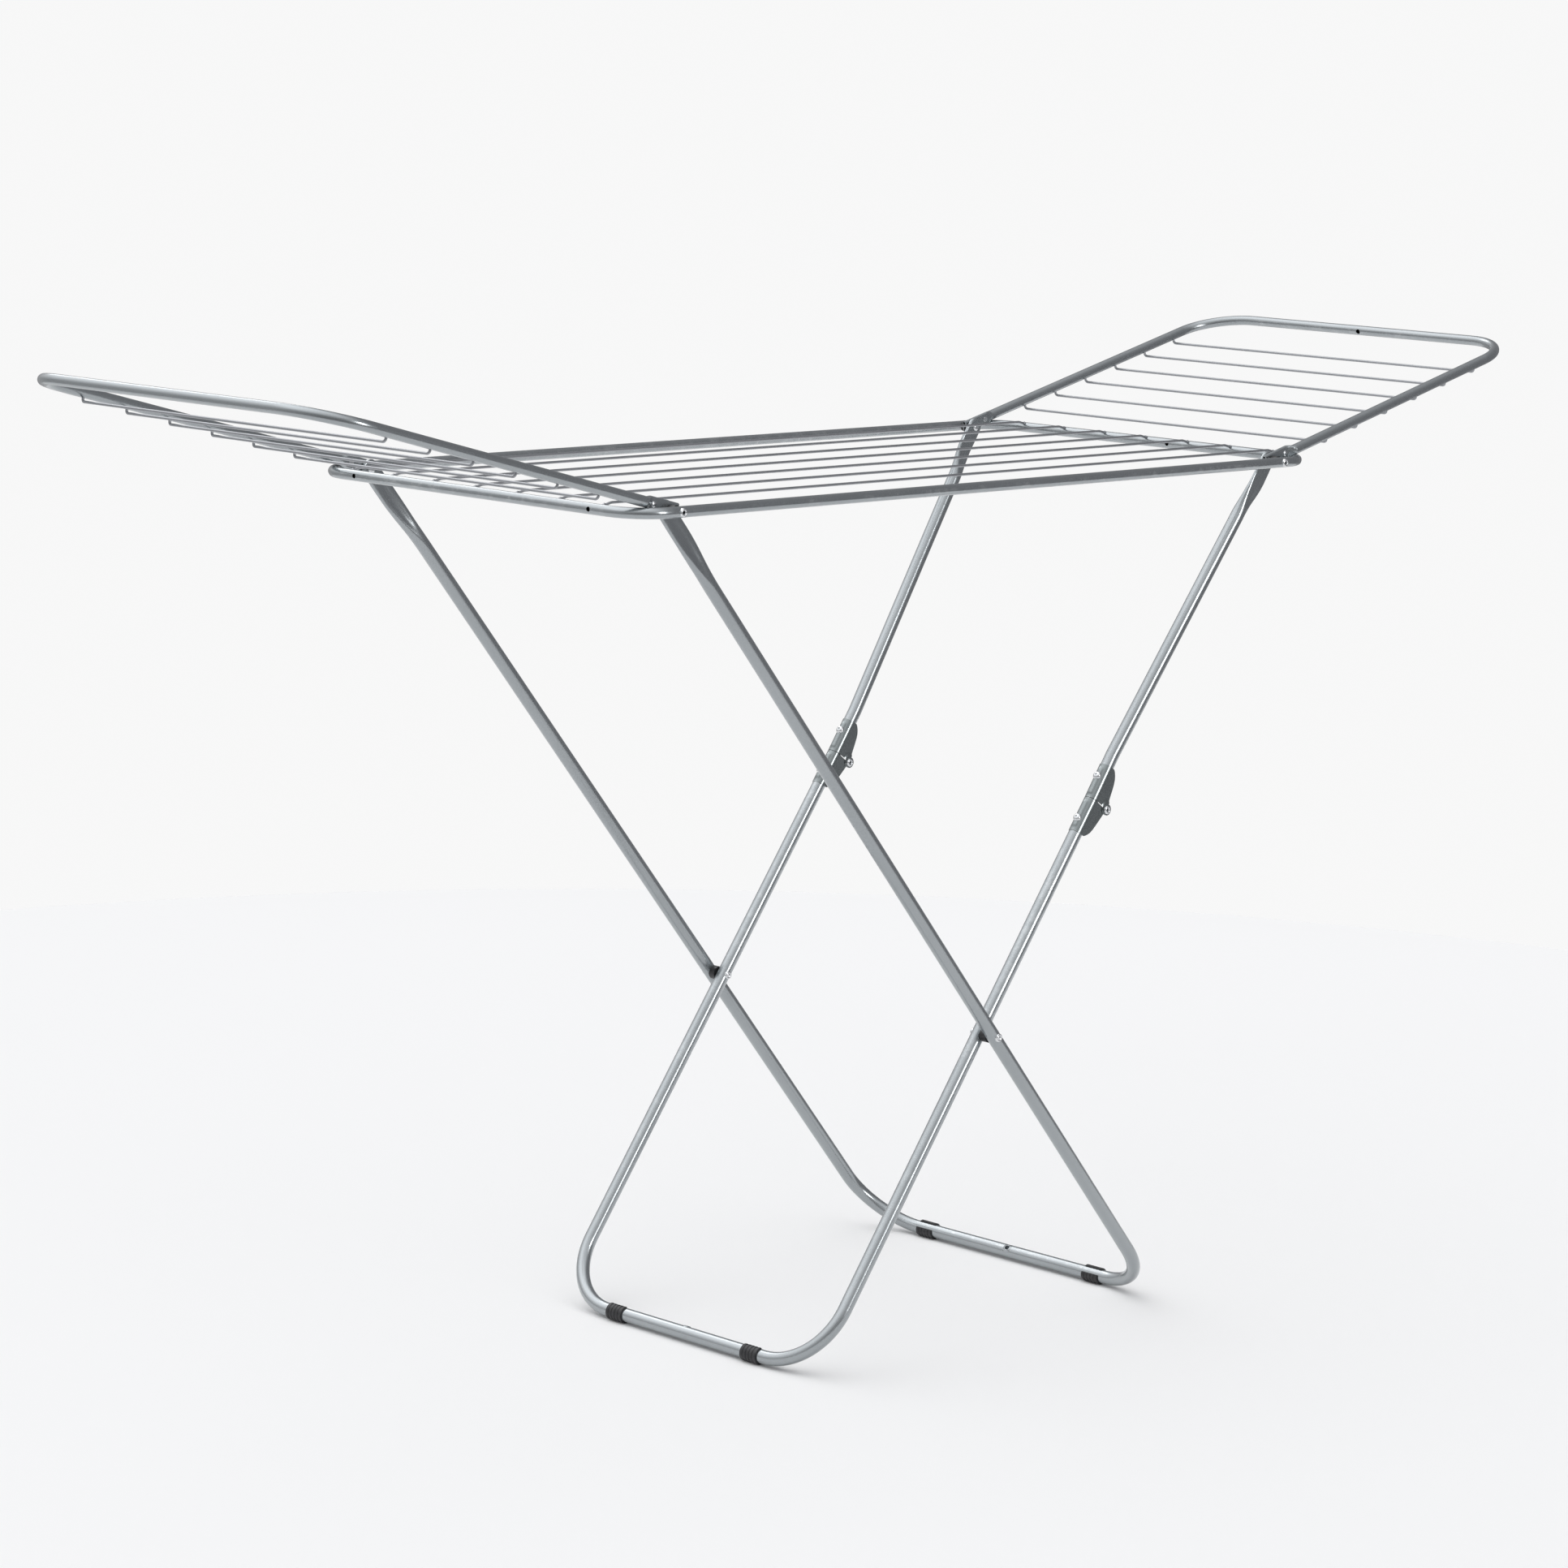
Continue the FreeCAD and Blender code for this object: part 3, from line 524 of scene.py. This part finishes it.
def make_main_wires():
    """Seven lengthwise wires that lie on the frame's end bars, with their ends bent down onto them."""
    level, low, bend, tip = FRAME_Z + THIN + 1.0, FRAME_Z + 4.2, FRAME_X - 14.0, FRAME_X - 2.2
    pitch = 65.7
    for i in range(7):
        y = (i - 3) * pitch
        corners = [Vector((-tip, y, low)), Vector((-bend, y, level)), Vector((bend, y, level)),
                   Vector((tip, y, low))]
        bm = bmesh.new()
        loft(bm, wire_rings(rounded(corners, 14.0, 6), AY))
        for hand in (-1, 1):
            way = Vector((hand * 0.87, 0, -0.5)).normalized()
            weld(bm, Vector((hand * (FRAME_X - 3.6), y, FRAME_Z + 5.3)), way, AY.cross(way), i * 2 + hand)
        name = "frame_wire_%d" % (i + 1)
        piece("look_" + name, bm, [name])


def opened(name):
    """The move from a wing's own frame to its opened place at one end of the rack."""
    turn = Matrix.Translation(HINGE_B) @ Matrix.Rotation(math.radians(-WING_ANGLE), 4, "Y")
    return turn if name == "right" else Matrix.Scale(-1, 4, AX) @ turn


def make_wing_wires():
    """Six crosswise wires under each wing, with turned-up ends welded under the arms."""
    end, top, low = WING_ARM_Y - 1.6, WING_RISE - 4.0, WING_RISE - 10.0
    first, pitch = 103.4, 58.8    # from the hinge
    for wing in ("left", "right"):
        place = opened(wing)
        for i in range(6):
            x = first + pitch * i
            corners = [Vector((x, -end, top)), Vector((x, -end + 1.0, low)),
                       Vector((x, end - 1.0, low)), Vector((x, end, top))]
            bm = bmesh.new()
            loft(bm, wire_rings(rounded(corners, 3.6, 8), AX))
            for hand in (-1, 1):
                weld(bm, Vector((x, hand * (end - 0.2), top + 0.2)), AX, AZ, i * 2 + hand)
            bmesh.ops.transform(bm, matrix=place, verts=bm.verts)
            name = "%s_wing_wire_%d" % (wing, i + 1)
            piece("look_" + name, bm, [name])


# ---- rivets, pins and spacers -----------------------------------------------------------------
# turned outlines of the heads: (radius, height above the surface that the head sits on)
TUBULAR = ((0.0, -5.0), (1.75, -5.0), (1.85, 0.4), (2.15, 1.25), (2.7, 1.7), (3.4, 1.76), (4.0, 1.45),
           (4.5, 0.85), (4.65, 0.2), (4.65, -1.9), (2.45, -1.9), (2.45, -5.1))
DOMED = ((0.0, 1.55), (1.4, 1.5), (1.9, 1.3), (2.3, 1.0), (2.7, 1.2), (3.3, 1.45), (4.0, 1.35),
         (4.6, 0.9), (4.85, 0.3), (4.85, -1.8))
HINGE_BACK = ((4.6, 0.0), (4.4, 0.7), (3.6, 1.3), (2.0, 1.72), (0.0, 1.8))
PIN_HEAD = ((0.0, -4.5), (1.75, -4.5), (1.85, 0.4), (2.2, 1.15), (2.9, 1.55), (3.8, 1.45), (4.5, 0.95),
            (4.95, 0.3), (5.0, 0.0), (2.0, 0.0), (2.0, -4.6))
BLIND_HEAD = ((0.0, 1.7), (1.0, 1.7), (1.1, 2.4), (1.8, 2.85), (3.0, 2.6), (4.1, 1.8), (4.8, 0.7),
              (4.9, 0.0), (4.9, -1.4))
ARM_HEAD = ((0.0, 1.3), (1.4, 1.2), (2.4, 0.9), (3.1, 0.4), (3.25, 0.0), (3.25, -0.3))
ARM_BACK = ((3.2, 0.0), (3.0, 0.2), (0.0, 0.26))


def shank(bm, start, end, radius):
    """A plain round rod."""
    axis = (end - start).normalized()
    lathe(bm, start, axis, ((radius, 0.0), (radius, (end - start).length)), 28)


def make_rivets():
    """Hinge, cross, knee and wing rivets, and the two knee pins."""
    bm = bmesh.new()
    for hinge in (HINGE_A, HINGE_B):
        for side in (-1, 1):
            out = AY * side
            outer = hinge + out * (FRAME_Y + THIN)
            inner = hinge + out * (PLATE_Y - PLATE_HALF - 0.3)
            lathe(bm, outer, out, TUBULAR)
            shank(bm, inner, outer - out * 5.0, 2.5)
            lathe(bm, inner, -out, HINGE_BACK)
    piece("look_hinge_rivets", bm, ["hinge_rivets"])

    outer_bm, inner_bm = bmesh.new(), bmesh.new()
    for side in (-1, 1):
        out = AY * side
        outer, inner = CROSS + out * (ARM_A_Y + LEG), CROSS + out * (ARM_B_Y - LEG)
        split = CROSS + out * (ARM_B_Y + LEG)
        lathe(outer_bm, outer, out, DOMED)
        shank(outer_bm, split + out * 0.3, outer - out * 1.7, 2.5)
        lathe(inner_bm, inner, -out, DOMED)
        shank(inner_bm, inner + out * 1.7, split, 2.5)
    piece("look_cross_rivets_outer", outer_bm, ["cross_rivets_outer"])
    piece("look_cross_rivets_inner", inner_bm, ["cross_rivets_inner"])

    for along, node in ((ALONG_UPPER, "knee_rivets_upper"), (ALONG_LOWER, "knee_rivets_lower")):
        bm = bmesh.new()
        away = -outward(along)
        for side in (-1, 1):
            base = KNEE + AY * (side * ARM_B_Y) + along * BLIND_AT + away * 9.3
            lathe(bm, base, away, BLIND_HEAD)
            shank(bm, base - away * 4.0, base - away * 0.6, 1.6)
        piece("look_" + node, bm, [node])

    for side, hand in SIDES:
        pin = KNEE_PIN + AY * (side * ARM_B_Y)
        reach = 10.8
        bm = bmesh.new()
        for out in (AY, -AY):
            lathe(bm, pin + out * reach, out, PIN_HEAD)
        shank(bm, pin - AY * (reach - 4.55), pin + AY * (reach - 4.55), 1.98)
        piece("look_knee_pin_" + hand, bm, ["knee_pin_" + hand])

    for wing in ("left", "right"):
        place = opened(wing)
        bm = bmesh.new()
        for side in (-1, 1):
            out = AY * side
            at = Vector((ARM_RIVET_AT, 0, WING_RISE))
            outer, inner = at + out * (WING_PLATE_Y + PLATE_HALF), at + out * (WING_PLATE_Y - PLATE_HALF)
            lathe(bm, outer, out, ARM_HEAD)
            shank(bm, inner, outer - out * 0.3, 1.8)
            lathe(bm, inner, -out, ARM_BACK)
        bmesh.ops.transform(bm, matrix=place, verts=bm.verts)
        node = wing + "_wing_arm_rivets"
        piece("look_" + node, bm, [node])


# ---- knee brackets ----------------------------------------------------------------------------
# how far a cheek reaches outwards at each distance from the butt joint
CHEEK = ((0.4, 19.7), (5.0, 19.4), (11.0, 18.4), (17.0, 17.2), (24.0, 15.8), (30.0, 14.4), (35.0, 12.6),
         (39.0, 10.0), (42.0, 7.2), (44.0, 4.5))


def cheek_edge(t):
    """How far a knee bracket's cheek reaches outwards at a distance from the butt joint."""
    for (t0, n0), (t1, n1) in zip(CHEEK, CHEEK[1:]):
        if t <= t1:
            return n0 + (n1 - n0) * (t - t0) / (t1 - t0)
    return CHEEK[-1][1]


def eye(bm, base, axis, inner, outer, depth):
    """A flat ring with a hole through it."""
    side = axis.cross(AX).normalized()
    other = axis.cross(side)
    profile = ((inner, 0.0), (outer - 0.2, 0.0), (outer, 0.2), (outer, depth - 0.2), (outer - 0.2, depth),
               (inner, depth), (inner, 0.0))
    rings = [[base + axis * height + (side * math.cos(t) + other * math.sin(t)) * radius
              for t in (math.tau * i / 48 for i in range(48))] for radius, height in profile]
    loft(bm, rings, False, False)
    bmesh.ops.remove_doubles(bm, verts=bm.verts, dist=0.0001)


def make_bracket(along, side, lapped, node):
    """A pressed sheet: a half sleeve with a stiffening ridge, two bulged cheeks, and an eye on each."""
    away = outward(along)
    origin = KNEE + AY * (side * ARM_B_Y)
    sheet, radius = 1.2, 8.72
    pin = KNEE_PIN - KNEE
    pin_t, pin_n = pin.dot(along), pin.dot(away)

    def at(t, n, y):
        return origin + along * t + away * n + AY * y

    def joggle(t, n):
        if not lapped:
            return 0.0
        return 1.5 * (1.0 - smoothstep(8.0, 11.5, math.hypot(t - pin_t, n - pin_n)))

    bm = bmesh.new()
    rows = []
    stations = [0.4 + (SLEEVE_LENGTH - 0.4) * k / 44 for k in range(45)]
    for t in stations:
        row = []
        edge = cheek_edge(t)
        round_pin = 3.2 ** 2 - (t - pin_t) ** 2
        if round_pin > 0:
            edge = min(edge, pin_n - math.sqrt(round_pin))
        cheek = 16
        for k in range(cheek):
            n = edge * (1 - k / cheek)
            row.append(at(t, n, -radius - joggle(t, n)))
        for k in range(29):
            turn = math.pi * k / 28
            ridge = 0.9 * (1.0 - smoothstep(0.26, 0.50, abs(turn - math.pi / 2)))
            ridge *= smoothstep(3.0, 7.0, t) * (1.0 - smoothstep(36.0, 41.0, t))
            r = radius + ridge
            row.append(at(t, -r * math.sin(turn), -r * math.cos(turn)))
        for k in range(1, cheek + 1):
            n = edge * k / cheek
            row.append(at(t, n, radius + joggle(t, n)))
        rows.append([bm.verts.new(point) for point in row])
    for first, second in zip(rows, rows[1:]):
        for i in range(len(first) - 1):
            bm.faces.new((first[i], first[i + 1], second[i + 1], second[i]))
    bmesh.ops.recalc_face_normals(bm, faces=bm.faces)
    bmesh.ops.solidify(bm, geom=bm.faces[:], thickness=sheet / 2.0)
    inner, outer = (9.62, 10.82) if lapped else (8.12, 9.32)
    for hand in (-1, 1):
        base = origin + pin + AY * (hand * inner)
        depth = outer - inner
        eye(bm, base, AY * hand, 2.25, 6.5, depth)
    piece("look_" + node, bm, [node], sharp=32.0)


def make_brackets():
    """Two brackets at each knee; the upper one laps over the lower one."""
    for side, hand in SIDES:
        make_bracket(ALONG_UPPER, side, True, "knee_bracket_upper_" + hand)
        make_bracket(ALONG_LOWER, side, False, "knee_bracket_lower_" + hand)


# ---- plastic ----------------------------------------------------------------------------------
def make_foot(bar, along, y, node):
    """A clip with ribs round it, open towards the arms and flat where it stands."""
    length, ribs, groove, edge = 25.0, 5, 0.55, 0.5
    mouth = math.radians(30.0)
    facing = math.atan2(-along.z, -along.x)
    pitch = length / ribs
    stops = [(0.0, edge), (edge, 0.0)]
    for i in range(1, ribs):
        stops += [(pitch * i - 1.0, 0.0), (pitch * i - 0.6, groove), (pitch * i + 0.6, groove),
                  (pitch * i + 1.0, 0.0)]
    stops += [(length - edge, 0.0), (length, edge)]
    arc = 40
    rings = []
    for distance, cut in stops:
        ring = []
        for k in range(arc + 1):
            turn = facing + mouth + (math.tau - 2 * mouth) * k / arc
            lip = 0.6 * (smoothstep(0, 3, k) * smoothstep(0, 3, arc - k)) - 0.6
            r = LEG + 2.0 - cut + lip
            sole = -bar.z + (0.3 if cut else 0.0)
            ring.append(Vector((r * math.cos(turn), 0, max(r * math.sin(turn), sole))))
        for k in range(arc, -1, -1):
            turn = facing + mouth + (math.tau - 2 * mouth) * k / arc
            ring.append(Vector(((LEG + 0.05) * math.cos(turn), 0, (LEG + 0.05) * math.sin(turn))))
        centre = bar + AY * (y - length / 2.0 + distance)
        rings.append([centre + point for point in ring])
    bm = bmesh.new()
    loft(bm, rings)
    piece("look_" + node, bm, [node], sharp=30.0)


def make_plastic():
    """The four plastic feet, two on each foot bar."""
    for side, hand in SIDES:
        make_foot(FOOT_A, ALONG_A, side * FOOT_A_Y, "foot_a_" + hand)
        make_foot(FOOT_B, ALONG_LOWER, side * FOOT_B_Y, "foot_b_" + hand)


make_leg_a()
make_leg_b_lower()
make_leg_b_upper()
make_main_wires()
make_wing_wires()
make_rivets()
make_brackets()
make_plastic()

# ---- floor, light and camera ------------------------------------------------------------------
# how bright the sky is at each height, how it grows towards the back, and how bright the dark side is
SKY = ((0.0, 0.30), (0.12, 0.38), (0.40, 0.63), (0.75, 1.22), (1.0, 1.31))
BACK = (0.80, 1.60)
DARK = 0.26
BACKDROP = 0.935
FLOOR_RADIUS = 2.6


def make_stage():
    """A pale floor disc, as bright as the pale studio behind it."""
    bm = bmesh.new()
    rim = [bm.verts.new((math.cos(a) * FLOOR_RADIUS, math.sin(a) * FLOOR_RADIUS, -0.0005))
           for a in (math.tau * i / 64 for i in range(64))]
    bm.faces.new(rim)
    mesh = bpy.data.meshes.new("floor")
    bm.to_mesh(mesh)
    bm.free()
    floor = bpy.data.objects.new("floor", mesh)
    bpy.context.scene.collection.objects.link(floor)
    s = Shader("pale floor")
    pale = s.ramp(s.noise(0.6, 2.0), ((0.3, (0.915, 0.915, 0.915)), (0.7, (0.925, 0.925, 0.925))))
    s.set(Base_Color=pale, Roughness=0.9, Specular_IOR_Level=0.1)
    floor.data.materials.append(s.material)


def area_light(name, place, target, size_x, size_y, power):
    """A rectangular softbox that faces a target; metres and watts."""
    light = bpy.data.lights.new(name, "AREA")
    light.shape, light.size, light.size_y, light.energy = "RECTANGLE", size_x, size_y, power
    lamp = bpy.data.objects.new(name, light)
    bpy.context.scene.collection.objects.link(lamp)
    lamp.location = place
    lamp.rotation_mode = "QUATERNION"
    lamp.rotation_quaternion = (Vector(target) - Vector(place)).to_track_quat("-Z", "Y")
    return lamp


def make_world():
    """A pale studio: bright overhead and behind, dark towards the right."""
    world = bpy.context.scene.world or bpy.data.worlds.new("studio")
    bpy.context.scene.world = world
    world.use_nodes = True
    nodes, links = world.node_tree.nodes, world.node_tree.links
    seen = nodes["Background"]
    seen.inputs["Color"].default_value = (BACKDROP, BACKDROP, BACKDROP, 1.0)
    split = nodes.new("ShaderNodeSeparateXYZ")
    links.new(nodes.new("ShaderNodeTexCoord").outputs["Generated"], split.inputs["Vector"])
    height = nodes.new("ShaderNodeValToRGB")
    ramp = height.color_ramp
    for at, _ in SKY[1:-1]:
        ramp.elements.new(at)
    for element, (at, value) in zip(ramp.elements, SKY):
        element.position = at
        element.color = (value, value * 1.005, value * 1.015, 1.0)
    links.new(split.outputs["Z"], height.inputs["Fac"])

    def span(socket, from_low, from_high, to_low, to_high):
        node = nodes.new("ShaderNodeMapRange")
        node.interpolation_type = "SMOOTHSTEP"
        node.inputs["From Min"].default_value = from_low
        node.inputs["From Max"].default_value = from_high
        node.inputs["To Min"].default_value = to_low
        node.inputs["To Max"].default_value = to_high
        links.new(socket, node.inputs["Value"])
        return node.outputs["Result"]

    sky = nodes.new("ShaderNodeBackground")
    links.new(height.outputs["Color"], sky.inputs["Color"])
    links.new(span(split.outputs["Y"], -0.9, 0.8, *BACK), sky.inputs["Strength"])
    dark = nodes.new("ShaderNodeBackground")
    dark.inputs["Color"].default_value = (DARK, DARK, DARK * 1.04, 1.0)
    lit = nodes.new("ShaderNodeMixShader")
    links.new(span(split.outputs["X"], 0.0, 0.75, 0.0, 1.0), lit.inputs["Fac"])
    links.new(sky.outputs["Background"], lit.inputs[1])
    links.new(dark.outputs["Background"], lit.inputs[2])
    choose = nodes.new("ShaderNodeMixShader")
    links.new(nodes.new("ShaderNodeLightPath").outputs["Is Camera Ray"], choose.inputs["Fac"])
    links.new(lit.outputs["Shader"], choose.inputs[1])
    links.new(seen.outputs["Background"], choose.inputs[2])
    links.new(choose.outputs["Shader"], nodes["World Output"].inputs["Surface"])


def make_lights():
    """Two softboxes that draw the bright lines along the tubes, and leave the floor even."""
    front = area_light("front softbox", (0.75, -5.9, 2.3), (0.1, 0.0, 0.62), 1.3, 2.4, 95.0)
    back = area_light("back softbox", (1.5, 4.5, 4.2), (0.0, 0.0, 0.8), 3.0, 1.2, 25.0)
    for lamp in (front, back):
        lamp.visible_diffuse = False


def make_camera():
    """The camera stands low at the near left, and looks along the rack's diagonal."""
    yaw, pitch, roll = 0.8001, -0.1666, 0.0287
    view = Vector((math.sin(yaw) * math.cos(pitch), math.cos(yaw) * math.cos(pitch), math.sin(pitch)))
    right = view.cross(Vector((0.0, 0.0, 1.0))).normalized()
    up = right.cross(view)
    across = right * math.cos(roll) + up * math.sin(roll)
    upward = up * math.cos(roll) - right * math.sin(roll)
    data = bpy.data.cameras.new("camera")
    data.sensor_width, data.lens = 36.0, 110.93
    data.clip_start, data.clip_end = 0.1, 300.0
    camera = bpy.data.objects.new("camera", data)
    bpy.context.scene.collection.objects.link(camera)
    turn = Matrix((across, upward, -view)).transposed()
    camera.matrix_world = Matrix.Translation((-3.9491, -3.7703, 1.5396)) @ turn.to_4x4()
    bpy.context.scene.camera = camera


make_stage()
make_world()
make_lights()
make_camera()
bpy.context.scene.view_settings.view_transform = "Standard"

bpy.context.view_layer.update()
